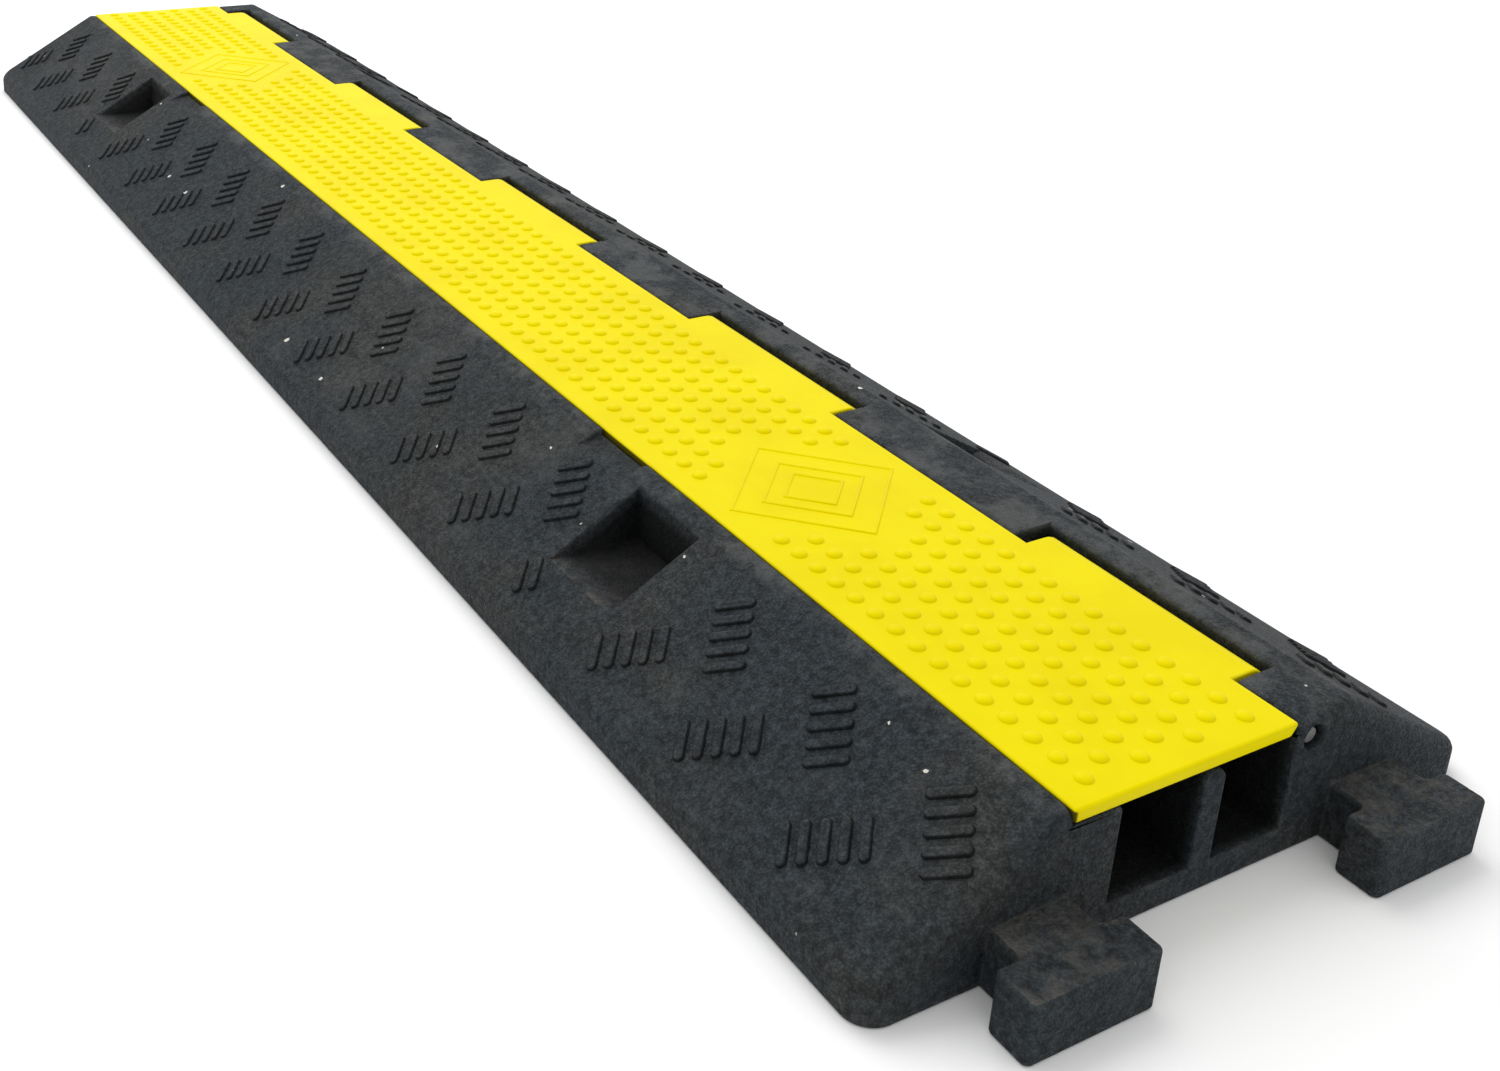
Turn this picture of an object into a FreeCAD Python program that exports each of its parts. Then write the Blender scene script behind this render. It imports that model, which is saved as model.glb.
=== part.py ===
"""Cable protector ramp: a rubber ramp with two cable channels under a hinged lid.

Frame: the origin is the centre of the ramp's underside, +X runs along the ramp towards the
connector lugs, +Y goes towards the hinge side and +Z is up. Lengths are in millimetres.
"""
import FreeCAD, Part
import os
import re
import Sketcher

doc = FreeCAD.newDocument("cable_ramp")

# ---------------------------------------------------------------- driving dimensions

SIZES = [
    ("body_length", 1000, "ramp body, end face to end face"),
    ("body_width", 250, "toe to toe"),
    ("deck_height", 48.5, "flat top of the body and of the lid"),
    ("deck_width", 121, "flat top, crease to crease"),
    ("toe_height", 10.7, "upright face along each toe"),
    ("toe_corner_radius", 10, "upright corners of the ramp, seen from above"),
    ("end_edge_radius", 5, "rounding where slopes and deck meet the end faces"),
    ("crease_radius", 4, "rounding between deck and slopes"),
    ("channel_floor", 9.2, "rubber left under the channels"),
    ("channel_outer", 37.8, "outer wall of the channel away from the hinge, from the middle"),
    ("divider_width", 8.8, "wall between the two channels"),
    ("divider_drop", 1.2, "top of the divider, below the lid's seat"),
    ("divider_radius", 3, "rounded top of the divider"),
    ("wall_edge_radius", 1.5, "inner edge of the lid's seat"),
    ("lid_thickness", 4.5, "lid plate"),
    ("lid_free_edge", 56.4, "lid's free edge, from the middle"),
    ("hinge_edge_gap", 0.5, "what the upright lid's hinge edge stands clear of the deck"),
    ("lid_edge_gap", 0.6, "gap round the lid in the plane of the deck"),
    ("lid_end_gap", 0.5, "how far each end of the lid stands in from the end face"),
    ("lid_seat_gap", 0.3, "gap under the closed lid"),
    ("lid_edge_radius", 1.2, "rounded top edges of the lid"),
    ("bevel_width", 2.3, "bevel under the hinge edge, across"),
    ("bevel_land", 0.9, "upright part of the hinge edge above the bevel"),
    ("axis_offset", 42.5, "hinge axis, from the middle"),
    ("knuckle_radius", 8, "knuckles, tangent to the lid's top"),
    ("knuckle_pitch", 212, "between the middle knuckles"),
    ("knuckle_length", 107, "the three middle knuckles"),
    ("outer_knuckle_length", 93, "the two outer knuckles"),
    ("outer_knuckle_inset", 26.5, "outer knuckle, in from the end face"),
    ("knuckle_end_gap", 1.5, "at each end of a knuckle"),
    ("outer_recess_extra", 5.5, "more room at the socket end of the outer recesses"),
    ("recess_gap", 1.0, "round the knuckles in their recesses"),
    ("hinge_lip_radius", 1.5, "rounded top edges of the rubber along the hinge"),
    ("rod_radius", 3, "hinge rod"),
    ("rod_clearance", 0.05, "running clearance of the knuckles on the rod, on the radius"),
    ("rod_inset", 2, "rod's ends, in from the end faces"),
    ("rod_chamfer", 0.5, "rod's ends"),
    ("rod_mouth_radius", 4.4, "counterbored mouth of the rod's bore"),
    ("rod_mouth_depth", 6, "counterbored mouth of the rod's bore"),
    ("side_shift", 3.5, "grips and notches, off the middle towards the socket end"),
    ("grip_offset", 306, "grip pockets, from their own middle along the ramp"),
    ("grip_length", 41.5, "grip pocket, along the ramp"),
    ("grip_floor", 24, "level floor of the grip pockets"),
    ("grip_back", 65.5, "back wall of the grip pockets, from the middle"),
    ("notch_offset", 260, "finger notches, from their own middle along the ramp"),
    ("notch_length", 33, "finger notch, along the ramp"),
    ("notch_depth", 2.3, "floor of a notch at the lid, down from the deck"),
    ("notch_fall", 2.6, "fall of a notch's floor over its width"),
    ("notch_width", 12.5, "finger notch, from the lid to the slope"),
    ("lug_offset", 69.5, "connector lugs, from the middle"),
    ("lug_neck_length", 12.5, "neck of a lug"),
    ("lug_neck_width", 29.5, "neck of a lug"),
    ("lug_head_length", 16, "head of a lug"),
    ("lug_head_width", 47.5, "head of a lug"),
    ("lug_height", 20, "lugs, from the ground"),
    ("lug_corner_radius", 2.5, "upright corners of the lugs"),
    ("lug_edge_radius", 1.2, "top edges of the lugs"),
    ("socket_clearance", 1, "room round a lug in its socket"),
]

sheet = doc.addObject("Spreadsheet::Sheet", "sizes")
for row, (alias, number, note) in enumerate(SIZES, start=1):
    sheet.set(f"A{row}", alias)
    sheet.set(f"B{row}", str(number))
    sheet.set(f"C{row}", note)
    sheet.setAlias(f"B{row}", alias)
doc.recompute()


def cell(formula):
    """Turn a formula of plain names into one that any object can read from the sheet."""
    return re.sub(r"[a-z_]{3,}", r"sizes.\g<0>", formula)


def number(text):
    """The present value of a formula."""
    return float(sheet.evalExpression(text))


# ---------------------------------------------------------------- derived dimensions

END = "body_length / 2"
TOE = "body_width / 2"
CREASE = "deck_width / 2"
LID_UNDERSIDE = "(deck_height - lid_thickness)"
SEAT = "(deck_height - lid_thickness - lid_seat_gap)"
SEAT_OUTER = "(lid_free_edge + lid_edge_gap)"
LID_HINGE_EDGE = "(axis_offset - knuckle_radius - hinge_edge_gap)"
HINGE_WALL = "(axis_offset - knuckle_radius - hinge_edge_gap + lid_edge_gap)"
AXIS_HEIGHT = "(deck_height - knuckle_radius)"
RECESS_WALL = "(axis_offset + knuckle_radius + recess_gap)"
RECESS_FLOOR = "(deck_height - 2 * knuckle_radius - recess_gap)"
OUTER_KNUCKLE = "(body_length / 2 - outer_knuckle_inset - outer_knuckle_length / 2)"

# Each knuckle: its centre along the ramp, its length, and the extra room behind it.
KNUCKLES = [
    (f"-{OUTER_KNUCKLE}", "outer_knuckle_length", "outer_recess_extra"),
    ("-knuckle_pitch", "knuckle_length", "0"),
    ("0", "knuckle_length", "0"),
    ("knuckle_pitch", "knuckle_length", "0"),
    (OUTER_KNUCKLE, "outer_knuckle_length", "outer_recess_extra"),
]


# ---------------------------------------------------------------- building blocks

def new_body(label):
    body = doc.addObject("PartDesign::Body", label)
    body.Label = label
    return body


def new_sketch(body, name, role, offset="0"):
    """A sketch on one of the body's origin planes, moved along the plane's normal."""
    sketch = body.newObject("Sketcher::SketchObject", name)
    plane = next(item for item in body.Origin.OriginFeatures if item.Role == role)
    sketch.AttachmentSupport = [(plane, "")]
    sketch.MapMode = "FlatFace"
    sketch.setExpression("AttachmentOffset.Base.z", cell(offset))
    return sketch


def pin(sketch, geometry, position, name, place):
    """Hold one point of the sketch at a pair of formulas, measured from the origin."""
    for kind, formula in zip(("DistanceX", "DistanceY"), place):
        constraint = Sketcher.Constraint(kind, -1, 1, geometry, position, number(formula))
        index = sketch.addConstraint(constraint)
        label = f"{name}_{kind[-1]}"
        sketch.renameConstraint(index, label)
        sketch.setExpression(f"Constraints.{label}", cell(formula))


def draw_polygon(sketch, name, corners):
    """A closed outline through corners, each a pair of formulas."""
    points = [FreeCAD.Vector(number(u), number(v), 0) for u, v in corners]
    first = sketch.GeometryCount
    count = len(points)
    for index in range(count):
        sketch.addGeometry(Part.LineSegment(points[index], points[(index + 1) % count]))
    for index in range(count):
        before = first + (index - 1) % count
        sketch.addConstraint(Sketcher.Constraint("Coincident", before, 2, first + index, 1))
        pin(sketch, first + index, 1, f"{name}{index}", corners[index])


def draw_rectangle(sketch, name, low, high):
    """A rectangle between two opposite corners."""
    (left, bottom), (right, top) = low, high
    draw_polygon(sketch, name, [(left, bottom), (right, bottom), (right, top), (left, top)])


def draw_circle(sketch, name, centre, radius):
    middle = FreeCAD.Vector(number(centre[0]), number(centre[1]), 0)
    circle = sketch.addGeometry(Part.Circle(middle, FreeCAD.Vector(0, 0, 1), number(radius)))
    index = sketch.addConstraint(Sketcher.Constraint("Radius", circle, number(radius)))
    sketch.renameConstraint(index, f"{name}_radius")
    sketch.setExpression(f"Constraints.{name}_radius", cell(radius))
    pin(sketch, circle, 3, name, centre)


def pad(body, sketch, name, length, both_ways=False):
    feature = body.newObject("PartDesign::Pad", name)
    feature.Profile = sketch
    feature.setExpression("Length", cell(length))
    feature.SideType = "Symmetric" if both_ways else "One side"
    doc.recompute()
    return feature


def pocket(body, sketch, name, depth=None, upwards=False, both_ways=False):
    """Cut a sketch out of the body, right through it unless a depth is given."""
    before = body.Shape.Volume
    feature = body.newObject("PartDesign::Pocket", name)
    feature.Profile = sketch
    feature.Reversed = upwards
    if both_ways:
        feature.SideType = "Two sides"
        feature.Type2 = "ThroughAll"
    if depth is None:
        feature.Type = "ThroughAll"
    else:
        feature.Type = "Length"
        feature.setExpression("Length", cell(depth))
    doc.recompute()
    if body.Shape.Volume >= before:
        raise RuntimeError(f"{name} cuts nothing")
    return feature


def round_edges(body, name, radius, chosen):
    """Fillet every edge of the body that the test picks out by its box."""
    edges = [
        f"Edge{index}"
        for index, edge in enumerate(body.Shape.Edges, start=1)
        if chosen(edge.BoundBox)
    ]
    if not edges:
        raise RuntimeError(f"{name} finds no edge")
    base = body.Tip
    feature = body.newObject("PartDesign::Fillet", name)
    feature.Base = (base, edges)
    feature.setExpression("Radius", cell(radius))
    doc.recompute()
    return feature


def near(value, target, slack=0.01):
    return abs(value - target) < slack


def flat_at(low, high, target):
    """True where a box's side from low to high lies at the target."""
    return near(low, target) and near(high, target)


# ---------------------------------------------------------------- ramp body

def lug_outline(side, neck_start, neck_end, head_end, room):
    """T-shaped outline of a lug or socket, with its neck and head grown by room."""
    middle = f"{side} * lug_offset"
    neck = f"(lug_neck_width / 2 + {room})"
    head = f"(lug_head_width / 2 + {room})"
    return [
        (neck_start, f"{middle} - {neck}"),
        (neck_end, f"{middle} - {neck}"),
        (neck_end, f"{middle} - {head}"),
        (head_end, f"{middle} - {head}"),
        (head_end, f"{middle} + {head}"),
        (neck_end, f"{middle} + {head}"),
        (neck_end, f"{middle} + {neck}"),
        (neck_start, f"{middle} + {neck}"),
    ]


def make_ramp_body():
    body = new_body("ramp_body")
    end, toe, crease = number(END), number(TOE), number(CREASE)
    toe_height, deck = number("toe_height"), number("deck_height")

    section = new_sketch(body, "ramp_section", "YZ_Plane")
    draw_polygon(section, "ramp", [
        (f"-{TOE}", "0"), (TOE, "0"), (TOE, "toe_height"), (CREASE, "deck_height"),
        (f"-{CREASE}", "deck_height"), (f"-{TOE}", "toe_height"),
    ])
    pad(body, section, "ramp_block", "body_length", both_ways=True)

    round_edges(body, "toe_corners", "toe_corner_radius", lambda box: (
        near(abs(box.XMin), end) and near(box.XLength, 0) and near(box.YLength, 0)
        and near(abs(box.YMin), toe)))
    round_edges(body, "creases", "crease_radius", lambda box: (
        near(box.YLength, 0) and near(abs(box.YMin), crease) and flat_at(box.ZMin, box.ZMax, deck)))
    round_edges(body, "end_edges", "end_edge_radius", lambda box: (
        near(abs(box.XMin), end) and near(box.XLength, 0) and box.ZMax > toe_height + 1))

    seat = new_sketch(body, "seat_section", "YZ_Plane")
    draw_rectangle(seat, "seat", (f"-{SEAT_OUTER}", SEAT), (HINGE_WALL, "deck_height + 1"))
    pocket(body, seat, "lid_seat", both_ways=True)
    round_edges(body, "hinge_wall_edge", "hinge_lip_radius", lambda box: (
        near(box.YLength, 0) and near(box.YMin, number(HINGE_WALL)) and flat_at(box.ZMin, box.ZMax, deck)))

    channels = new_sketch(body, "channel_sections", "YZ_Plane")
    draw_rectangle(channels, "outer", ("-channel_outer", "channel_floor"),
                   ("-divider_width / 2", f"{SEAT} + 1"))
    draw_rectangle(channels, "inner", ("divider_width / 2", "channel_floor"),
                   (HINGE_WALL, f"{SEAT} + 1"))
    pocket(body, channels, "cable_channels", both_ways=True)
    divider = new_sketch(body, "divider_top", "YZ_Plane")
    draw_rectangle(divider, "divider", ("-divider_width / 2 - 1", f"{SEAT} - divider_drop"),
                   ("divider_width / 2 + 1", f"{SEAT} + 1"))
    pocket(body, divider, "divider_trim", both_ways=True)
    divider_top = number(f"{SEAT} - divider_drop")
    round_edges(body, "divider_edges", "divider_radius", lambda box: (
        near(abs(box.YMin), number("divider_width / 2")) and flat_at(box.ZMin, box.ZMax, divider_top)))
    round_edges(body, "seat_edge", "wall_edge_radius", lambda box: (
        near(box.YMin, -number("channel_outer")) and flat_at(box.ZMin, box.ZMax, number(SEAT))))

    recesses = new_sketch(body, "recess_plan", "XY_Plane", RECESS_FLOOR)
    for index, (centre, length, extra) in enumerate(KNUCKLES):
        half = f"({length} / 2 + knuckle_end_gap)"
        draw_rectangle(recesses, f"recess{index}", (f"{centre} - {half} - {extra}", f"{HINGE_WALL} - 1"),
                       (f"{centre} + {half}", RECESS_WALL))
    pocket(body, recesses, "hinge_recesses", upwards=True)
    round_edges(body, "recess_edges", "hinge_lip_radius", lambda box: (
        near(box.YLength, 0) and near(box.YMin, number(RECESS_WALL)) and flat_at(box.ZMin, box.ZMax, deck)))

    grips = new_sketch(body, "grip_plan", "XY_Plane", "grip_floor")
    for index, (along, side) in enumerate([("-1", "-1"), ("1", "-1"), ("-1", "1"), ("1", "1")]):
        start = f"{along} * grip_offset - side_shift - grip_length / 2"
        finish = f"{along} * grip_offset - side_shift + grip_length / 2"
        draw_rectangle(grips, f"grip{index}", (start, f"{side} * grip_back"), (finish, f"{side} * {TOE}"))
    pocket(body, grips, "grip_pockets", upwards=True)

    floor_head, floor_foot = "deck_height - notch_depth", "deck_height - notch_depth - notch_fall"
    for name, along in (("socket_end", "-1"), ("lug_end", "1")):
        start = f"{along} * notch_offset - side_shift - notch_length / 2"
        notch = new_sketch(body, f"notch_{name}", "YZ_Plane", start)
        draw_polygon(notch, "notch", [
            (f"-{SEAT_OUTER} + 1", floor_head), (f"-{SEAT_OUTER}", floor_head),
            (f"-{SEAT_OUTER} - notch_width", floor_foot), (f"-{SEAT_OUTER} - notch_width", "deck_height + 1"),
            (f"-{SEAT_OUTER} + 1", "deck_height + 1"),
        ])
        pocket(body, notch, f"finger_notch_{name}", depth="notch_length", upwards=True)

    bore = new_sketch(body, "bore_section", "YZ_Plane")
    draw_circle(bore, "bore", ("axis_offset", AXIS_HEIGHT), "rod_radius")
    pocket(body, bore, "rod_bore", both_ways=True)
    for name, face, inwards in (("lug_end", f"{END} - rod_mouth_depth", True),
                                ("socket_end", f"rod_mouth_depth - {END}", False)):
        mouth = new_sketch(body, f"mouth_{name}", "YZ_Plane", face)
        draw_circle(mouth, "mouth", ("axis_offset", AXIS_HEIGHT), "rod_mouth_radius")
        pocket(body, mouth, f"bore_mouth_{name}", depth="rod_mouth_depth + 1", upwards=inwards)

    lugs = new_sketch(body, "lug_plan", "XY_Plane")
    sockets = new_sketch(body, "socket_plan", "XY_Plane")
    for index, side in enumerate(["-1", "1"]):
        neck_end = f"{END} + lug_neck_length"
        draw_polygon(lugs, f"lug{index}", lug_outline(
            side, f"{END} - 2", neck_end, f"{neck_end} + lug_head_length", "0"))
        neck_end = f"lug_neck_length - socket_clearance - {END}"
        head_end = f"lug_neck_length + lug_head_length + socket_clearance - {END}"
        draw_polygon(sockets, f"socket{index}", lug_outline(
            side, f"-{END} - 1", neck_end, head_end, "socket_clearance"))
    pad(body, lugs, "connector_lugs", "lug_height")
    pocket(body, sockets, "connector_sockets", depth="lug_height + socket_clearance", upwards=True)
    round_edges(body, "lug_corners", "lug_corner_radius", lambda box: (
        near(box.XLength, 0) and near(box.YLength, 0) and box.XMin > end + 1
        and near(box.ZLength, number("lug_height"))))
    round_edges(body, "lug_top_edges", "lug_edge_radius", lambda box: (
        box.XMax > end + 1 and box.XMin > end - 0.1 and flat_at(box.ZMin, box.ZMax, number("lug_height"))))
    return body


# ---------------------------------------------------------------- lid

def make_lid():
    body = new_body("channel_lid")
    deck, lid_end = number("deck_height"), number(f"{END} - lid_end_gap")

    section = new_sketch(body, "plate_section", "YZ_Plane")
    draw_polygon(section, "plate", [
        ("-lid_free_edge", LID_UNDERSIDE),
        (f"{LID_HINGE_EDGE} - bevel_width", LID_UNDERSIDE),
        (LID_HINGE_EDGE, "deck_height - bevel_land"),
        (LID_HINGE_EDGE, "deck_height"),
        ("-lid_free_edge", "deck_height"),
    ])
    pad(body, section, "lid_plate", "body_length - 2 * lid_end_gap", both_ways=True)

    for index, (centre, length, _) in enumerate(KNUCKLES):
        barrel = new_sketch(body, f"barrel_section_{index}", "YZ_Plane", f"{centre} - {length} / 2")
        draw_circle(barrel, "barrel", ("axis_offset", AXIS_HEIGHT), "knuckle_radius")
        pad(body, barrel, f"barrel_{index}", length)
        web = new_sketch(body, f"web_section_{index}", "YZ_Plane", f"{centre} - {length} / 2")
        draw_rectangle(web, "web", (f"{LID_HINGE_EDGE} - bevel_width", LID_UNDERSIDE),
                       ("axis_offset", "deck_height"))
        pad(body, web, f"web_{index}", length)

    bore = new_sketch(body, "bore_section_lid", "YZ_Plane")
    draw_circle(bore, "bore", ("axis_offset", AXIS_HEIGHT), "rod_radius + rod_clearance")
    pocket(body, bore, "lid_bore", both_ways=True)

    round_edges(body, "end_edges_lid", "lid_edge_radius", lambda box: (
        near(box.XLength, 0) and near(abs(box.XMin), lid_end) and flat_at(box.ZMin, box.ZMax, deck)))
    round_edges(body, "free_edge_lid", "lid_edge_radius", lambda box: (
        near(box.YMax, -number("lid_free_edge")) and box.XLength > number(END)
        and flat_at(box.ZMin, box.ZMax, deck)))
    return body


# ---------------------------------------------------------------- hinge rod

def make_hinge_rod():
    body = new_body("hinge_rod")
    section = new_sketch(body, "rod_section", "YZ_Plane")
    draw_circle(section, "rod", ("axis_offset", AXIS_HEIGHT), "rod_radius")
    bar = pad(body, section, "rod_bar", "body_length - 2 * rod_inset", both_ways=True)
    ends = [
        f"Edge{index}"
        for index, edge in enumerate(bar.Shape.Edges, start=1)
        if near(edge.BoundBox.XLength, 0)
    ]
    chamfer = body.newObject("PartDesign::Chamfer", "rod_ends")
    chamfer.Base = (bar, ends)
    chamfer.setExpression("Size", cell("rod_chamfer"))
    body.Tip = chamfer
    doc.recompute()
    return body


# ---------------------------------------------------------------- checks and files

pieces = [make_ramp_body(), make_lid(), make_hinge_rod()]
doc.recompute()

for item in doc.Objects:
    if {"Invalid", "Error"} & set(item.State):
        raise RuntimeError(f"{item.Name} failed: {item.State}")

os.makedirs("parts", exist_ok=True)
for piece in pieces:
    shape = piece.Shape
    if shape.isNull() or not shape.isValid() or len(shape.Solids) != 1:
        raise RuntimeError(f"{piece.Label} has no single valid solid")
    box = shape.BoundBox
    print(f"{piece.Label}: {shape.Volume / 1000:.1f} cm3, "
          f"{box.XLength:.1f} x {box.YLength:.1f} x {box.ZLength:.1f} mm")
    shape.exportStep(f"parts/{piece.Label}.step")
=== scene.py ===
"""Cable protector ramp: a moulded rubber ramp with two cable channels under a hinged yellow lid.

Laid out as an add-on. Everything is in metres in the frame of the CAD model: +X runs along the
ramp towards its connector lugs, +Y towards the hinge and +Z up.
"""
import math

import bmesh
import bpy
import numpy as np
from bpy.props import FloatProperty, FloatVectorProperty, IntProperty, PointerProperty
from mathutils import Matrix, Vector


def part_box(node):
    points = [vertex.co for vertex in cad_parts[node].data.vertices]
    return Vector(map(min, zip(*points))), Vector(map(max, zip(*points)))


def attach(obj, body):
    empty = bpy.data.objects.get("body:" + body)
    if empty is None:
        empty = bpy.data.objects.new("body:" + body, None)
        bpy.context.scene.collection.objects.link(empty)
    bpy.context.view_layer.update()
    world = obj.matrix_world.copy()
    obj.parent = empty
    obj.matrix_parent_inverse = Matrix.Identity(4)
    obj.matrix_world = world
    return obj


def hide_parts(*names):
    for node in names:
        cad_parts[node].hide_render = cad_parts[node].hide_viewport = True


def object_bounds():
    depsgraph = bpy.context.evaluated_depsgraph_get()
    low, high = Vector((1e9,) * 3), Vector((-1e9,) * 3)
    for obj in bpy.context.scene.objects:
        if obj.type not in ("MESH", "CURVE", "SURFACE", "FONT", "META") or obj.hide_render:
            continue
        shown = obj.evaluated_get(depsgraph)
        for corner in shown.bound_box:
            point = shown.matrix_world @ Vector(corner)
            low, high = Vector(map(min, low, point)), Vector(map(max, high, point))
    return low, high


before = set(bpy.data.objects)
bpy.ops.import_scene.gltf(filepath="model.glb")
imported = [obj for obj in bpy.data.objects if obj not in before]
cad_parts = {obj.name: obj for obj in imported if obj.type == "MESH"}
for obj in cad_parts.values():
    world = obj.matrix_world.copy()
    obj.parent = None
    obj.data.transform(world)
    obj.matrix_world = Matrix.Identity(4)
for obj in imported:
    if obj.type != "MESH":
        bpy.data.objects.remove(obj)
CAD_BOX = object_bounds()

bl_info = {
    "name": "Cable protector ramp",
    "version": (1, 0, 0),
    "blender": (4, 5, 0),
    "location": "View3D > Sidebar > Cable ramp",
    "description": "Dresses a rubber cable ramp and its hinged lid",
    "category": "Object",
}

END = -CAD_BOX[0][0]
LENGTH = {"subtype": "DISTANCE", "unit": "LENGTH", "precision": 4}


# ---------------------------------------------------------------- settings

class RampBodySizes(bpy.types.PropertyGroup):
    """Sizes of the rubber body that its raised bars, dust, painted sheen and painted shade follow."""
    toe_offset: FloatProperty(name="Toe", description="Foot of the slope, from the middle",
                              default=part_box("ramp_body")[1][1], **LENGTH)
    toe_height: FloatProperty(name="Toe height", description="Upright face along each toe",
                              default=0.0107, **LENGTH)
    crease_offset: FloatProperty(name="Crease", description="Head of the slope, from the middle",
                                 default=0.0605, **LENGTH)
    deck_height: FloatProperty(name="Deck height", description="Flat top of the ramp",
                               default=0.0485, **LENGTH)
    edge_softness: FloatProperty(name="Edge softness", description="Rounding of the moulded edges",
                                 default=0.0009, **LENGTH)


class TreadBarSizes(bpy.types.PropertyGroup):
    """The groups of raised bars on both slopes."""
    length: FloatProperty(name="Length", description="Bar, end to end",
                          default=0.0155, **LENGTH)
    width: FloatProperty(name="Width", description="Bar, side to side at its foot",
                         default=0.0040, **LENGTH)
    height: FloatProperty(name="Height", description="Bar, above the slope",
                          default=0.0012, **LENGTH)
    spacing: FloatProperty(name="Spacing", description="Bar to bar in a group",
                           default=0.0063, **LENGTH)
    end_margin: FloatProperty(name="End margin", description="Bars stay this far off the end faces",
                              default=0.0025, **LENGTH)
    bars: IntProperty(name="Bars", description="Bars in a group", default=5)
    groups: IntProperty(name="Groups", description="Groups in a row", default=18)
    pitch: FloatProperty(name="Pitch", description="Group to group along the ramp",
                         default=0.0551, **LENGTH)
    lower_start: FloatProperty(name="Lower row start", description="First group of the lower row",
                               default=0.453, **LENGTH)
    lower_rise: FloatProperty(name="Lower row rise", default=0.0235,
                              description="Lower row, up the slope from the toe", **LENGTH)
    upper_start: FloatProperty(name="Upper row start", description="First group of the upper row",
                               default=0.4785, **LENGTH)
    upper_rise: FloatProperty(name="Upper row rise", default=0.0498,
                              description="Upper row, up the slope from the toe", **LENGTH)


class LidSizes(bpy.types.PropertyGroup):
    """The lid's edges and the raised dots and diamonds on it."""
    edge_softness: FloatProperty(name="Edge softness", description="Rounding of the lid's edges",
                                 default=0.0008, **LENGTH)
    dot_radius: FloatProperty(name="Dot radius", description="Foot of a dot",
                              default=0.0031, **LENGTH)
    dot_height: FloatProperty(name="Dot height", description="Dot, above the lid",
                              default=0.0013, **LENGTH)
    dot_pitch: FloatProperty(name="Dot pitch", description="Dot to dot along the lid",
                             default=0.010562, **LENGTH)
    row_pitch: FloatProperty(name="Row pitch", description="Row to row across the lid",
                             default=0.0109, **LENGTH)
    rows: IntProperty(name="Rows", description="Rows of dots", default=7)
    dots: IntProperty(name="Dots", description="Dots in an outer row", default=94)
    dot_start: FloatProperty(name="First dot", description="First dot of the outer rows",
                             default=0.4896, **LENGTH)
    dot_middle: FloatProperty(name="Middle row", description="Middle row of dots, from the middle",
                              default=-0.0114, **LENGTH)
    dot_margin: FloatProperty(name="Dot margin", default=0.006,
                              description="Lid's far end stays free of dots this far in", **LENGTH)
    seam_offset: FloatProperty(name="Seam", default=0.0567,
                               description="Gap beside the lid's free edge, from the middle",
                               **LENGTH)
    # The painted shade in the seam reaches this far below the deck.
    seam_depth: FloatProperty(name="Seam depth", description="Grime in the gap, below the deck",
                              default=0.0050, **LENGTH)
    diamond_middles: FloatVectorProperty(name="Diamonds", description="Diamonds, along the lid",
                                         size=2, default=(-0.325, 0.316), unit="LENGTH",
                                         precision=4)
    diamond_reach: FloatProperty(name="Diamond reach", description="Diamond, centre to corner",
                                 default=0.0365, **LENGTH)
    diamond_clear: FloatProperty(name="Diamond clearance", description="Dots stay this far off",
                                 default=0.0505, **LENGTH)
    ridge_width: FloatProperty(name="Ridge width", description="Outline of a diamond",
                               default=0.0013, **LENGTH)
    ridge_height: FloatProperty(name="Ridge height", description="Outline, above the lid",
                                default=0.0005, **LENGTH)


COLOUR = {"subtype": "COLOR", "size": 4, "min": 0, "max": 1}


class RampColours(bpy.types.PropertyGroup):
    """The colours of the ramp's materials."""
    rubber: FloatVectorProperty(name="Rubber", description="Black rubber",
                                default=(0.0205, 0.0265, 0.0310, 1), **COLOUR)
    rubber_brown: FloatVectorProperty(name="Stained rubber", description="Browner patches of rubber",
                                      default=(0.0325, 0.0335, 0.0315, 1), **COLOUR)
    dust: FloatVectorProperty(name="Dust", description="Dry dust on rubber",
                              default=(0.135, 0.138, 0.135, 1), **COLOUR)
    soil: FloatVectorProperty(name="Soil", description="Brown-grey dirt on level ledges",
                              default=(0.175, 0.155, 0.130, 1), **COLOUR)
    grit: FloatVectorProperty(name="Grit", description="Pale crumbs of grit",
                              default=(0.62, 0.60, 0.54, 1), **COLOUR)
    yellow: FloatVectorProperty(name="Yellow", description="Yellow plastic",
                                default=(0.75, 0.635, 0.0, 1), **COLOUR)
    yellow_deep: FloatVectorProperty(name="Deep yellow", description="Deeper patches of the yellow",
                                     default=(0.715, 0.59, 0.0, 1), **COLOUR)
    yellow_rubbed: FloatVectorProperty(name="Rubbed yellow", description="Soiled edges of the lid",
                                       default=(0.35, 0.27, 0.02, 1), **COLOUR)
    # Painted shade in the gap at the lid's seam.
    seam_shade: FloatVectorProperty(name="Shadow", description="Dark grime along the lid's seam",
                               default=(0.018, 0.015, 0.006, 1), **COLOUR)
    steel: FloatVectorProperty(name="Steel", description="Drawn steel rod",
                               default=(0.55, 0.55, 0.54, 1), **COLOUR)
    tarnish: FloatVectorProperty(name="Tarnish", description="Dull spots on the steel",
                                 default=(0.23, 0.21, 0.19, 1), **COLOUR)
    floor: FloatVectorProperty(name="Floor", description="Pale studio floor",
                               default=(0.9, 0.9, 0.9, 1), **COLOUR)


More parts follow.
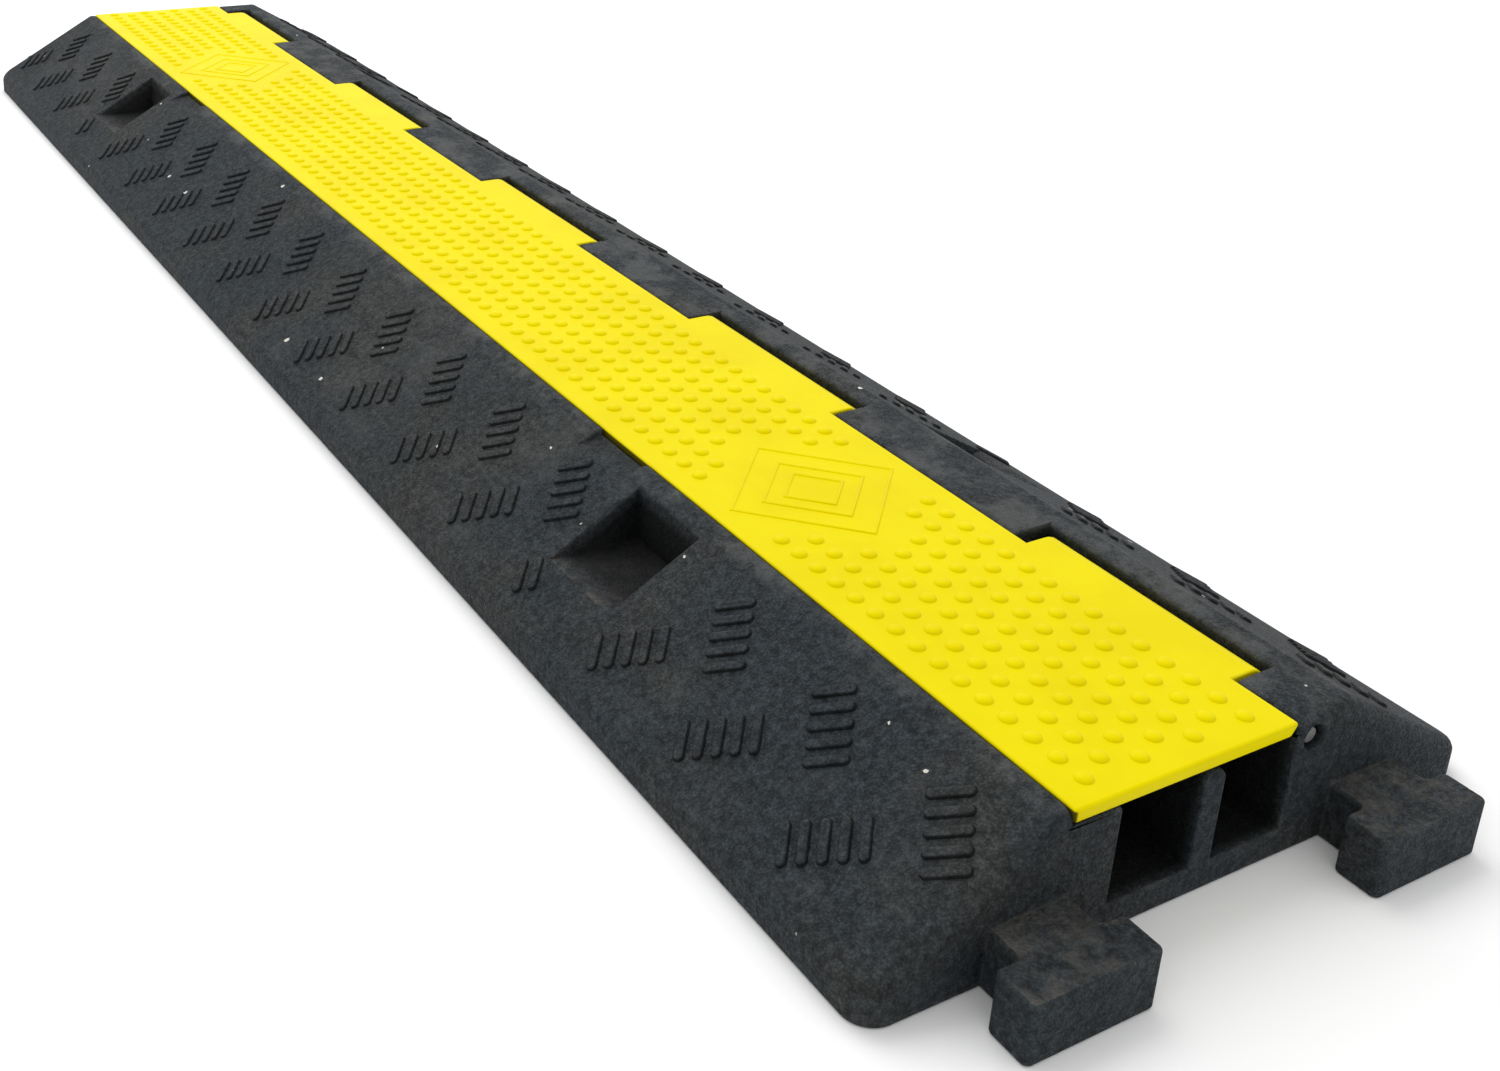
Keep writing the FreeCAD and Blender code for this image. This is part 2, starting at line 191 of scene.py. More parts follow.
class StageSettings(bpy.types.PropertyGroup):
    """The camera, the light and the floor."""
    camera_place: FloatVectorProperty(name="Camera", description="Place of the camera",
                                      subtype="TRANSLATION", default=(0.7755, -0.3788, 0.3550))
    camera_turn: FloatVectorProperty(name="Camera turn", description="Turn of the camera",
                                     subtype="EULER",
                                     default=[math.radians(v) for v in (69.186, -2.845, 59.371)])
    lens: FloatProperty(name="Lens", description="Focal length in millimetres", default=42.73)
    shift: FloatVectorProperty(name="Shift", description="Lens shift", size=2,
                               default=(0.0784, -0.1813))
    sky: FloatProperty(name="Sky", description="Strength of the even white light", default=0.95)
    key_power: FloatProperty(name="Key light", description="Power of the soft overhead light",
                             subtype="POWER", default=16.0)
    key_place: FloatVectorProperty(name="Key light place", description="Place of the key light",
                                   subtype="TRANSLATION", default=(-0.75, 0.05, 1.5))
    key_turn: FloatVectorProperty(name="Key light turn", description="Turn of the key light",
                                  subtype="EULER",
                                  default=[math.radians(v) for v in (2, -26, 0)])
    key_size: FloatVectorProperty(name="Key light size", description="Sides of the key light",
                                  size=2, default=(1.6, 1.2), unit="LENGTH")
    floor_reach: FloatProperty(name="Floor reach", description="Floor, from the middle to a side",
                               default=40.0, unit="LENGTH")
    floor_drop: FloatProperty(name="Floor drop", description="Floor, below the ramp's underside",
                              default=0.0002, **LENGTH)


SETTINGS = {"body": RampBodySizes, "tread": TreadBarSizes, "lid": LidSizes, "colours": RampColours,
            "stage": StageSettings}


class RampSettings(bpy.types.PropertyGroup):
    """All that a user can change."""
    body: PointerProperty(type=RampBodySizes)
    tread: PointerProperty(type=TreadBarSizes)
    lid: PointerProperty(type=LidSizes)
    colours: PointerProperty(type=RampColours)
    stage: PointerProperty(type=StageSettings)


def settings():
    return bpy.context.scene.cable_ramp


# ---------------------------------------------------------------- shapes

def show(mesh, name, material, body):
    """Put a finished mesh in the scene, with its material and the body it rides on."""
    piece = bpy.data.objects.new(name, mesh)
    bpy.context.scene.collection.objects.link(piece)
    mesh.materials.clear()
    mesh.materials.append(material)
    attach(piece, body)
    return piece


def smooth_shading(piece, sharp_angle):
    """Smooth shading with a hard line at edges sharper than the angle, in degrees."""
    piece.data.shade_smooth()
    piece.data.set_sharp_from_angle(angle=math.radians(sharp_angle))


def even_shading(piece):
    """Smooth shading that keeps large flat faces flat."""
    smooth_shading(piece, 40)
    weighted = piece.modifiers.new("even_shading", "WEIGHTED_NORMAL")
    weighted.keep_sharp = True


def softened_copy(node, name, softness, smallest_angle=38):
    """A merged copy of a CAD node whose outer edges are rounded like moulded ones.

    Edges that turn less than the smallest angle, in degrees, are facets of a curve and stay.
    """
    shape = bmesh.new()
    shape.from_mesh(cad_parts[node].data)
    bmesh.ops.remove_doubles(shape, verts=shape.verts, dist=1e-6)
    bmesh.ops.dissolve_limit(shape, angle_limit=math.radians(0.3), verts=shape.verts, edges=shape.edges)
    smallest = math.radians(smallest_angle)
    outer = [edge for edge in shape.edges
             if edge.is_manifold and edge.is_convex and edge.calc_face_angle() > smallest]
    bmesh.ops.bevel(shape, geom=outer, offset=softness, offset_type="OFFSET", segments=2,
                    profile=0.5, affect="EDGES", clamp_overlap=False)
    mesh = bpy.data.meshes.new(name)
    shape.to_mesh(mesh)
    shape.free()
    return mesh


# Straight sides of a button's outline, all the way round.
BUTTON_SIDES = 12

# A foot is a share of the outline's radius and a level below the face that it is sunk in. Each
# ring above it is a share of the radius and a share of the button's height.
BAR_FOOT = (1.10, -0.0009)
BAR_RINGS = ((1.0, 0.02), (0.82, 0.72), (0.66, 0.96), (0.35, 1.0))
DOT_FOOT = (1.03, -0.0003)
DOT_RINGS = ((1.0, 0.0), (0.90, 0.42), (0.68, 0.78), (0.38, 0.96), (0.12, 1.0))


def button(straight, radius, height, foot, rings):
    """A raised button with a rounded-end outline.

    The outline is two half circles of the radius whose centres lie `straight` apart. The foot and
    each ring above it draw it in to a share of the radius and lift it:
    x = sign(cos a) * straight / 2 + share * radius * cos a, y = share * radius * sin a, z = lift.
    """
    sides = BUTTON_SIDES
    angle = (np.arange(sides) + 0.5) * 2 * np.pi / sides
    profile = [foot] + [(share, rise * height) for share, rise in rings]
    share, lift = np.array(profile).T[:, :, None]
    x = np.sign(np.cos(angle)) * straight / 2 + share * radius * np.cos(angle)
    y = share * radius * np.sin(angle)
    points = np.stack([x, y, lift + 0 * angle], axis=-1).reshape(-1, 3)
    ring = np.arange(sides)
    step = (np.arange(len(profile) - 1) * sides)[:, None]
    after = (ring + 1) % sides
    walls = np.stack([step + ring, step + after, step + sides + after, step + sides + ring], axis=-1)
    faces = walls.reshape(-1, 4).tolist()
    faces.append(ring[::-1].tolist())
    faces.append((ring + (len(profile) - 1) * sides).tolist())
    return points, faces


def repeated(name, shape, origins, axes):
    """One mesh of many equal shapes: point = origin + its x, y and z along the three axes."""
    points, faces = shape
    placed = origins[:, None, :] + np.einsum("pk,nkj->npj", points, axes)
    every = [[corner + copy * len(points) for corner in face]
             for copy in range(len(origins)) for face in faces]
    mesh = bpy.data.meshes.new(name)
    mesh.from_pydata(placed.reshape(-1, 3), [], every)
    mesh.update()
    return mesh


def diamond_ridge(centre, reach, width, height, base):
    """A closed raised line round a diamond, and its faces.

    Corner i of line j lies at centre + direction i * (reach + sqrt 2 * offset j), so that every
    line runs at its own offset beside the diamond's side. The offsets and lifts are half an
    ellipse, with a foot sunk in the lid.
    """
    turn = np.radians([180, 108, 72, 36])
    offset = np.concatenate([[-width / 2], np.cos(turn) * width / 2, [width / 2, width / 2]])
    lift = np.concatenate([[-height], np.sin(turn) * height, [0, -height]])
    directions = np.array([[1, 0], [0, 1], [-1, 0], [0, -1]])
    flat = directions[:, None, :] * (reach + math.sqrt(2) * offset)[None, :, None]
    points = np.empty(flat.shape[:2] + (3,))
    points[..., :2] = flat + centre
    points[..., 2] = base + lift
    lines = len(offset)
    corner, line = np.meshgrid(np.arange(4), np.arange(lines), indexing="ij")
    here, there = corner * lines, (corner + 1) % 4 * lines
    beside = (line + 1) % lines
    faces = np.stack([here + line, here + beside, there + beside, there + line], axis=-1)
    return points.reshape(-1, 3), faces.reshape(-1, 4)


# ---------------------------------------------------------------- shader building blocks

def add(tree, kind, inputs=(), **values):
    """Add a shader node, set its values, and fill or link its inputs."""
    made = tree.nodes.new("ShaderNode" + kind)
    made.location = (190 * (len(tree.nodes) % 12), -260 * (len(tree.nodes) // 12))
    for name, value in values.items():
        setattr(made, name, value)
    for socket, value in dict(inputs).items():
        if isinstance(value, bpy.types.NodeSocket):
            tree.links.new(value, made.inputs[socket])
        else:
            made.inputs[socket].default_value = value
    return made


def maths(tree, operation, *terms, clamp=False):
    """A Math node of two terms, each a value or a socket."""
    return add(tree, "Math", dict(enumerate(terms)), operation=operation, use_clamp=clamp).outputs[0]


def blend_colours(tree, factor, first, second, blend_type="MIX"):
    """Blend the second colour over the first by a factor."""
    made = add(tree, "Mix", {0: factor, 6: first, 7: second}, data_type="RGBA", blend_type=blend_type)
    return made.outputs[2]


def ramp(tree, value, low, high, out_low=0.0, out_high=1.0):
    """Carry a value from one range to another, smoothly and clamped."""
    return add(tree, "MapRange", {0: value, 1: low, 2: high, 3: out_low, 4: out_high},
               interpolation_type="SMOOTHSTEP").outputs[0]


def noise(tree, vector, scale, detail=3.0, roughness=0.55):
    """Cloudy noise from 0 to 1, with this many cells to a metre."""
    return add(tree, "TexNoise", {"Vector": vector, "Scale": scale, "Detail": detail,
                                  "Roughness": roughness}).outputs[0]


def new_group(name, inputs, outputs):
    """An empty shader node group with named inputs and outputs."""
    tree = bpy.data.node_groups.new(name, "ShaderNodeTree")
    for label, default in inputs:
        tree.interface.new_socket(name=label, in_out="INPUT",
                                  socket_type="NodeSocketFloat").default_value = default
    for label in outputs:
        tree.interface.new_socket(name=label, in_out="OUTPUT", socket_type="NodeSocketFloat")
    return tree, tree.nodes.new("NodeGroupInput").outputs, tree.nodes.new("NodeGroupOutput").inputs


def place_group(tree, name, **values):
    """Place a shared effect in a material, with its own values."""
    made = tree.nodes.new("ShaderNodeGroup")
    made.node_tree = bpy.data.node_groups[name]
    for label, value in values.items():
        made.inputs[label.replace("_", " ")].default_value = value
    return made.outputs


def make_grain_group():
    """Pebbled grain of a mould: rounded cells a little finer and coarser than each other."""
    tree, given, out = new_group("moulded_grain", [("Cells", 900.0), ("Unevenness", 0.4)], ["Height"])
    place = add(tree, "TexCoord").outputs["Object"]
    cells = add(tree, "TexVoronoi", {"Vector": place, "Scale": given["Cells"], "Smoothness": 0.6},
                feature="SMOOTH_F1").outputs["Distance"]
    pebbles = ramp(tree, cells, 0.75, 0.1)
    uneven = noise(tree, place, maths(tree, "MULTIPLY", given["Cells"], 0.45), 2.0)
    tree.links.new(add(tree, "Mix", {0: given["Unevenness"], 2: pebbles, 3: uneven}).outputs[0],
                   out["Height"])


def make_edge_patches_group():
    """Edges in broken patches, where a rounded normal leaves the true one: rubbed edges, and on the
    rubber also a painted highlight.
    """
    tree, given, out = new_group("edge_patches", [("Reach", 0.0015), ("Patches", 60.0)], ["Mask"])
    place = add(tree, "TexCoord").outputs["Object"]
    rounded = add(tree, "Bevel", {"Radius": given["Reach"]}, samples=4).outputs[0]
    true = add(tree, "NewGeometry").outputs["Normal"]
    agreement = add(tree, "VectorMath", {0: rounded, 1: true}, operation="DOT_PRODUCT").outputs["Value"]
    edge = ramp(tree, agreement, 0.985, 0.86)
    patches = ramp(tree, noise(tree, place, given["Patches"], 4.0, 0.65), 0.38, 0.66)
    tree.links.new(maths(tree, "MULTIPLY", edge, patches), out["Mask"])


def make_dust_group():
    """Settled dust: cloudy patches, most on what faces up."""
    tree, given, out = new_group("settled_dust", [("Clouds", 9.0), ("Cover", 0.5)], ["Mask"])
    coordinates = add(tree, "TexCoord").outputs
    broad = noise(tree, coordinates["Object"], given["Clouds"], 5.0, 0.62)
    streaks = add(tree, "Mapping", {"Vector": coordinates["Object"], "Scale": (0.6, 1.7, 1.7)}).outputs[0]
    fine = noise(tree, streaks, maths(tree, "MULTIPLY", given["Clouds"], 9.0), 6.0, 0.7)
    up = add(tree, "SeparateXYZ", {0: coordinates["Normal"]}).outputs["Z"]
    facing = ramp(tree, up, -0.1, 0.95, 0.25, 1.0)
    low = maths(tree, "SUBTRACT", 1.0, given["Cover"])
    clouds = ramp(tree, maths(tree, "ADD", maths(tree, "MULTIPLY", broad, 0.6),
                              maths(tree, "MULTIPLY", fine, 0.4)), low, maths(tree, "ADD", low, 0.22))
    tree.links.new(maths(tree, "MULTIPLY", clouds, facing), out["Mask"])


def make_grit_group():
    """Sparse crumbs: the middles of a few cells, with ragged outlines."""
    tree, given, out = new_group("grit_crumbs", [("Cells", 55.0), ("Size", 0.055), ("Share", 0.1)],
                                 ["Mask"])
    place = add(tree, "TexCoord").outputs["Object"]
    ragged = add(tree, "TexNoise", {"Vector": place, "Scale": 700.0, "Detail": 2.0}).outputs[1]
    nudge = add(tree, "VectorMath", {0: ragged, 1: (0.5, 0.5, 0.5)}, operation="SUBTRACT").outputs[0]
    nudge = add(tree, "VectorMath", {0: nudge, "Scale": 0.0016}, operation="SCALE").outputs[0]
    moved = add(tree, "VectorMath", {0: place, 1: nudge}, operation="ADD").outputs[0]
    cell = add(tree, "TexVoronoi", {"Vector": moved, "Scale": given["Cells"]})
    lot = add(tree, "SeparateColor", {0: cell.outputs["Color"]}).outputs
    chosen = maths(tree, "LESS_THAN", lot[0], given["Share"])
    size = maths(tree, "MULTIPLY", given["Size"], maths(tree, "ADD", lot[1], 0.35))
    inside = maths(tree, "LESS_THAN", cell.outputs["Distance"], size)
    tree.links.new(maths(tree, "MULTIPLY", chosen, inside), out["Mask"])


# Where the painted shade of the hollows starts and where it is full: in from the ramp's end faces,
# and in from its toes. It starts this far below the skin, so that rounded edges stay unshaded.
END_FADE = (0.0005, 0.0050)
TOE_FADE = (0.004, 0.007)
UNSHADED_SKIN = 0.0008


def make_hollows_group(body):
    """Painted shade in the hollows: grip pockets and channels, by depth below the ramp's outer skin.

    The skin is level from the middle to the crease and falls evenly from there to the toe. The
    end faces and the toes are left out.
    """
    tree, given, out = new_group("painted_hollow_shade", [("Full depth", 0.007)], ["Mask"])
    parts = add(tree, "SeparateXYZ", {0: add(tree, "TexCoord").outputs["Object"]}).outputs
    along = maths(tree, "ABSOLUTE", parts["X"])
    across = maths(tree, "ABSOLUTE", parts["Y"])
    fall = (body.deck_height - body.toe_height) / (body.toe_offset - body.crease_offset)
    past = maths(tree, "MAXIMUM", maths(tree, "SUBTRACT", across, body.crease_offset), 0.0)
    skin = maths(tree, "SUBTRACT", body.deck_height, maths(tree, "MULTIPLY", past, fall))
    depth = maths(tree, "SUBTRACT", skin, parts["Z"])
    deep = add(tree, "MapRange", {0: depth, 1: UNSHADED_SKIN, 2: given["Full depth"]}).outputs[0]
    inside = maths(tree, "MULTIPLY",
                   ramp(tree, along, *(END - inset for inset in END_FADE)),
                   ramp(tree, across, *(body.toe_offset - inset for inset in TOE_FADE)))
    tree.links.new(maths(tree, "MULTIPLY", deep, inside), out["Mask"])


def make_seam_group(body, lid):
    """Painted shade in the gap along the lid's free edge.

    It lies within the half width of the gap across, and from the seam depth below the deck up to
    the top.
    """
    tree, given, out = new_group("lid_seam", [("Half width", 0.001), ("Top", 0.06)], ["Mask"])
    parts = add(tree, "SeparateXYZ", {0: add(tree, "TexCoord").outputs["Object"]}).outputs
    aside = maths(tree, "ABSOLUTE", maths(tree, "ADD", parts["Y"], lid.seam_offset))
    near = ramp(tree, maths(tree, "DIVIDE", aside, given["Half width"]), 1.0, 0.45)
    above = maths(tree, "GREATER_THAN", parts["Z"], body.deck_height - lid.seam_depth)
    below = ramp(tree, maths(tree, "SUBTRACT", given["Top"], parts["Z"]), 0.0, 0.0007)
    tree.links.new(maths(tree, "MULTIPLY", maths(tree, "MULTIPLY", near, above), below), out["Mask"])


# ---------------------------------------------------------------- materials

def new_material(name):
    """An empty material: its tree, its surface shader and the object coordinates."""
    material = bpy.data.materials.new(name)
    material.use_nodes = True
    tree = material.node_tree
    shader = tree.nodes["Principled BSDF"]
    return material, tree, shader, add(tree, "TexCoord").outputs["Object"]


# Heights over which dirt comes in and goes out again on level ledges, such as the lugs' tops, and
# how far below the deck its trodden look, partly wear and partly a painted sheen, starts and is full.
LEDGE_FADE_IN = (0.011, 0.016)
LEDGE_FADE_OUT = (0.034, 0.026)
TRODDEN_AND_SHEEN_FADE = (0.0030, 0.0005)


def make_rubber(name, colours, deck_height, dust_cover, wear_and_highlight_strength, grain_depth):
    """Black moulded rubber: pebbled, stained and dusty, with a painted shade and highlight in its grain,
    rubbed edges and a trodden deck that are partly a painted highlight and sheen, painted shade in its
    hollows, bar feet and seam, and a little grit.
    """
    material, tree, shader, place = new_material(name)
    height = add(tree, "SeparateXYZ", {0: place}).outputs["Z"]
    up = add(tree, "SeparateXYZ", {0: add(tree, "TexCoord").outputs["Normal"]}).outputs["Z"]
    level = ramp(tree, up, 0.90, 0.99)
    grain = place_group(tree, "moulded_grain", Cells=1150.0, Unevenness=0.6)["Height"]
    blotches = noise(tree, place, 330.0, 5.0, 0.68)
    stains = ramp(tree, noise(tree, place, 14.0, 5.0, 0.6), 0.42, 0.72)
    base = blend_colours(tree, stains, tuple(colours.rubber), tuple(colours.rubber_brown))
    # Painted shade and highlight of the grain: its pits darker and its pebbles lighter; the blotches add
    # mottling.
    depth = maths(tree, "MULTIPLY", ramp(tree, grain, 0.25, 0.75, 0.66, 1.18),
                  ramp(tree, blotches, 0.32, 0.70, 0.52, 1.60))
    grain_shaded = blend_colours(tree, 1.0, base, depth, "MULTIPLY")
    dust = place_group(tree, "settled_dust", Clouds=11.0, Cover=dust_cover)["Mask"]
    dusty = blend_colours(tree, maths(tree, "MULTIPLY", dust, 0.30), grain_shaded, tuple(colours.dust))
    below = maths(tree, "MULTIPLY", level, ramp(tree, height, *LEDGE_FADE_OUT))
    ledges = maths(tree, "MULTIPLY", below, ramp(tree, height, *LEDGE_FADE_IN))
    smears = ramp(tree, noise(tree, place, 75.0, 7.0, 0.74), 0.40, 0.72)
    dirt = maths(tree, "MULTIPLY", maths(tree, "MULTIPLY", ledges, smears), 0.36)
    soiled = blend_colours(tree, dirt, dusty, tuple(colours.soil))
    # Rubbed edges and a trodden deck, lightened towards the dust colour: partly wear, partly a painted
    # highlight on the edges and a painted sheen on the deck.
    edge_band = place_group(tree, "edge_patches", Reach=0.0022, Patches=70.0)["Mask"]
    trodden_and_sheen = maths(tree, "MULTIPLY",
                    ramp(tree, height, *(deck_height - drop for drop in TRODDEN_AND_SHEEN_FADE)),
                    ramp(tree, noise(tree, place, 55.0, 5.0, 0.68), 0.42, 0.62))
    rubbed_and_lit = maths(tree, "MAXIMUM", edge_band, maths(tree, "MULTIPLY", trodden_and_sheen, 0.8))
    worn_lit_and_shaded = blend_colours(tree, maths(tree, "MULTIPLY", rubbed_and_lit, wear_and_highlight_strength), soiled,
                         tuple(colours.dust))
    # Painted shade: the hollows, the bars' feet and the gap at the lid's seam are darkened in the colour.
    foot = add(tree, "Attribute", attribute_name="foot").outputs["Fac"]
    dark = maths(tree, "MAXIMUM", place_group(tree, "painted_hollow_shade")["Mask"], foot)
    dark = maths(tree, "MAXIMUM", dark, place_group(tree, "lid_seam", Half_width=0.0011)["Mask"])
    shade = maths(tree, "SUBTRACT", 1.0, maths(tree, "MULTIPLY", dark, 0.84))
    worn_lit_and_shaded = blend_colours(tree, 1.0, worn_lit_and_shaded, shade, "MULTIPLY")
    grit = place_group(tree, "grit_crumbs", Cells=62.0, Size=0.062, Share=0.6)["Mask"]
    lying = maths(tree, "MULTIPLY", ramp(tree, up, 0.3, 0.6), maths(tree, "LESS_THAN", dark, 0.5))
    gritty = blend_colours(tree, maths(tree, "MULTIPLY", grit, lying), worn_lit_and_shaded, tuple(colours.grit))
    tree.links.new(gritty, shader.inputs["Base Color"])
    rough = ramp(tree, grain, 0.2, 0.9, 0.78, 0.52)
    tree.links.new(maths(tree, "ADD", rough, maths(tree, "MULTIPLY", dust, 0.2), clamp=True),
                   shader.inputs["Roughness"])
    bumped = add(tree, "Bump", {"Height": grain, "Strength": 0.9, "Distance": grain_depth})
    lumps = add(tree, "Bump", {"Height": blotches, "Strength": 0.85, "Distance": 0.0014,
                               "Normal": bumped.outputs[0]})
    tree.links.new(lumps.outputs[0], shader.inputs["Normal"])
    shader.inputs["Specular IOR Level"].default_value = 0.16
    return material


# The painted shade on the lid's edge stops this far below the deck, so that the lid's top stays unshaded.
UNSHADED_LID_TOP = 0.0004


def make_yellow(colours, deck_height):
    """Satin yellow plastic, faintly mottled, with fine flow waves, scuffs and painted shade along the
    seam.
    """
    material, tree, shader, place = new_material("satin_yellow_plastic")
    mottle = ramp(tree, noise(tree, place, 26.0, 4.0, 0.6), 0.35, 0.7)
    base = blend_colours(tree, mottle, tuple(colours.yellow), tuple(colours.yellow_deep))
    edge_band = place_group(tree, "edge_patches", Reach=0.0009, Patches=90.0)["Mask"]
    soiled = blend_colours(tree, maths(tree, "MULTIPLY", edge_band, 0.18), base,
                           tuple(colours.yellow_rubbed))
    # Painted shade on the lid's edge, in the gap beside the rubber.
    seam = place_group(tree, "lid_seam", Half_width=0.0016, Top=deck_height - UNSHADED_LID_TOP)["Mask"]
    seam_shaded = blend_colours(tree, maths(tree, "MULTIPLY", seam, 0.92), soiled, tuple(colours.seam_shade))
    tree.links.new(seam_shaded, shader.inputs["Base Color"])
    stretched = add(tree, "Mapping", {"Vector": place, "Scale": (1.0, 0.35, 1.0)}).outputs[0]
    scuffs = ramp(tree, noise(tree, stretched, 420.0, 3.0, 0.7), 0.5, 0.75)
    tree.links.new(ramp(tree, scuffs, 0.0, 1.0, 0.36, 0.50), shader.inputs["Roughness"])
    waves = noise(tree, place, 160.0, 2.0)
    ripples = add(tree, "Bump", {"Height": waves, "Strength": 0.25, "Distance": 0.0004})
    fine = add(tree, "Bump", {"Height": noise(tree, place, 1500.0, 2.0), "Strength": 0.12,
                              "Distance": 0.0001, "Normal": ripples.outputs[0]})
    tree.links.new(fine.outputs[0], shader.inputs["Normal"])
    shader.inputs["Specular IOR Level"].default_value = 0.05
    shader.inputs["Specular Tint"].default_value = (1.0, 0.88, 0.3, 1)
    return material


def make_steel(colours):
    """Drawn steel bar: long fine lines along the rod, with spots of tarnish."""
    material, tree, shader, place = new_material("drawn_steel")
    along = add(tree, "Mapping", {"Vector": place, "Scale": (0.02, 1.0, 1.0)}).outputs[0]
    lines = noise(tree, along, 4200.0, 2.0)
    tarnish = ramp(tree, noise(tree, place, 240.0, 4.0), 0.45, 0.75)
    tree.links.new(blend_colours(tree, tarnish, tuple(colours.steel), tuple(colours.tarnish)),
                   shader.inputs["Base Color"])
    tree.links.new(ramp(tree, tarnish, 0.0, 1.0, 0.30, 0.55), shader.inputs["Roughness"])
    drawn = add(tree, "Bump", {"Height": lines, "Strength": 0.3, "Distance": 0.00005})
    tree.links.new(drawn.outputs[0], shader.inputs["Normal"])
    shader.inputs["Metallic"].default_value = 1.0
    return material


# ---------------------------------------------------------------- operators

class RAMP_OT_materials(bpy.types.Operator):
    """Make the shared effects and the ramp's materials"""
    bl_idname = "cable_ramp.materials"
    bl_label = "Materials"

    def execute(self, context):
        make_grain_group()
        make_edge_patches_group()
        make_dust_group()
        make_grit_group()
        body, colours = settings().body, settings().colours
        make_hollows_group(body)
        make_seam_group(body, settings().lid)
        make_rubber("moulded_rubber", colours, body.deck_height,
                    dust_cover=0.50, wear_and_highlight_strength=0.42, grain_depth=0.00042)
        make_rubber("raised_rubber", colours, body.deck_height,
                    dust_cover=0.46, wear_and_highlight_strength=0.36, grain_depth=0.00025)
        make_yellow(colours, body.deck_height)
        make_steel(colours)
        return {"FINISHED"}


class RAMP_OT_rubber_body(bpy.types.Operator):
    """Make the rubber body with soft moulded edges, grips, notches, channels and lugs"""
    bl_idname = "cable_ramp.rubber_body"
    bl_label = "Rubber body"

    def execute(self, context):
        mesh = softened_copy("ramp_body", "rubber_body", settings().body.edge_softness)
        piece = show(mesh, "rubber_body", bpy.data.materials["moulded_rubber"], "base")
        even_shading(piece)
        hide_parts("ramp_body")
        return {"FINISHED"}


def slope_frame(along, rise, side):
    """Points on a slope and its axes there: along the ramp, up the slope and out of it.

    A point `rise` up the slope from its toe lies at y = side * (toe - run * rise / slope) and
    z = toe height + climb * rise / slope, where slope is the length of run and climb together.
    """
    body = settings().body
    run, climb = body.toe_offset - body.crease_offset, body.deck_height - body.toe_height
    slope = math.hypot(run, climb)
    across = side * (body.toe_offset - run * rise / slope)
    points = np.stack([along, across, body.toe_height + climb * rise / slope], axis=-1)
    up = np.array([0, -side * run / slope, climb / slope])
    out = np.array([0, side * climb / slope, run / slope])
    return points, np.array([1, 0, 0]), up, out


# The groups of bars that meet a grip pocket, and how many bars of the lower one stay below it.
POCKET_GROUPS = (3, 14)
BARS_BELOW_POCKET = 2

# How dark the painted shade at a raised bar's foot makes each ring, from its foot to its top.
BAR_FOOT_SHADE = (1.0, 1.0, 0.85, 0.0, 0.0)


def bar_places(side):
    """Where the bars of one slope stand and how they are turned.

    Row by row, group `g` is centred at start - g * pitch, and bar `b` of a group of n stands
    (b - (n - 1) / 2) * spacing along the group's diagonal, square to the bar itself. The bars
    lean one way in the lower row and the other way in the upper one. Groups make way for the
    grip pockets: the upper one goes, and the lower one keeps its lowest bars. A bar whose tip
    would pass the end margin is left out.
    """
    tread = settings().tread
    group, bar = np.meshgrid(np.arange(tread.groups), np.arange(tread.bars), indexing="ij")
    pocket = np.isin(group, POCKET_GROUPS)
    step = (bar - (tread.bars - 1) / 2) * tread.spacing / math.sqrt(2)
    origins, axes = [], []
    for start, rise, lean, kept in (
            (tread.lower_start, tread.lower_rise, 1, ~pocket | (bar < BARS_BELOW_POCKET)),
            (tread.upper_start, tread.upper_rise, -1, ~pocket)):
        along = start - group * tread.pitch + step
        kept = kept & (np.abs(along) + tread.length / math.sqrt(8) < END - tread.end_margin)
        points, forward, up, out = slope_frame(along[kept], (rise + lean * step)[kept], side)
        lengthways = (forward - lean * up) / math.sqrt(2)
        turned = np.array([lengthways, np.cross(out, lengthways), out])
        origins.append(points)
        axes.append(np.broadcast_to(turned, (len(points), 3, 3)))
    return np.concatenate(origins), np.concatenate(axes)


class RAMP_OT_tread_bars(bpy.types.Operator):
    """Make the groups of raised grip bars on both slopes"""
    bl_idname = "cable_ramp.tread_bars"
    bl_label = "Tread bars"

    def execute(self, context):
        tread = settings().tread
        bar = button(tread.length - tread.width, tread.width / 2, tread.height, BAR_FOOT, BAR_RINGS)
        # Painted shade at the bars' feet, carried to the rubber in the foot attribute.
        foot = np.repeat(BAR_FOOT_SHADE, BUTTON_SIDES)
        for side, name in ((-1, "tread_bars_free_side"), (1, "tread_bars_hinge_side")):
            mesh = repeated(name, bar, *bar_places(side))
            mesh.attributes.new("foot", "FLOAT", "POINT").data.foreach_set(
                "value", np.tile(foot, len(mesh.vertices) // len(foot)).astype(np.float32))
            piece = show(mesh, name, bpy.data.materials["raised_rubber"], "base")
            smooth_shading(piece, 60)
        return {"FINISHED"}


class RAMP_OT_lid(bpy.types.Operator):
    """Make the yellow lid with its five knuckles"""
    bl_idname = "cable_ramp.lid"
    bl_label = "Lid"

    def execute(self, context):
        mesh = softened_copy("channel_lid", "lid_shell", settings().lid.edge_softness)
        yellow = bpy.data.materials["satin_yellow_plastic"]
        piece = show(mesh, "lid_shell", yellow, "lid")
        even_shading(piece)
        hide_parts("channel_lid")
        return {"FINISHED"}


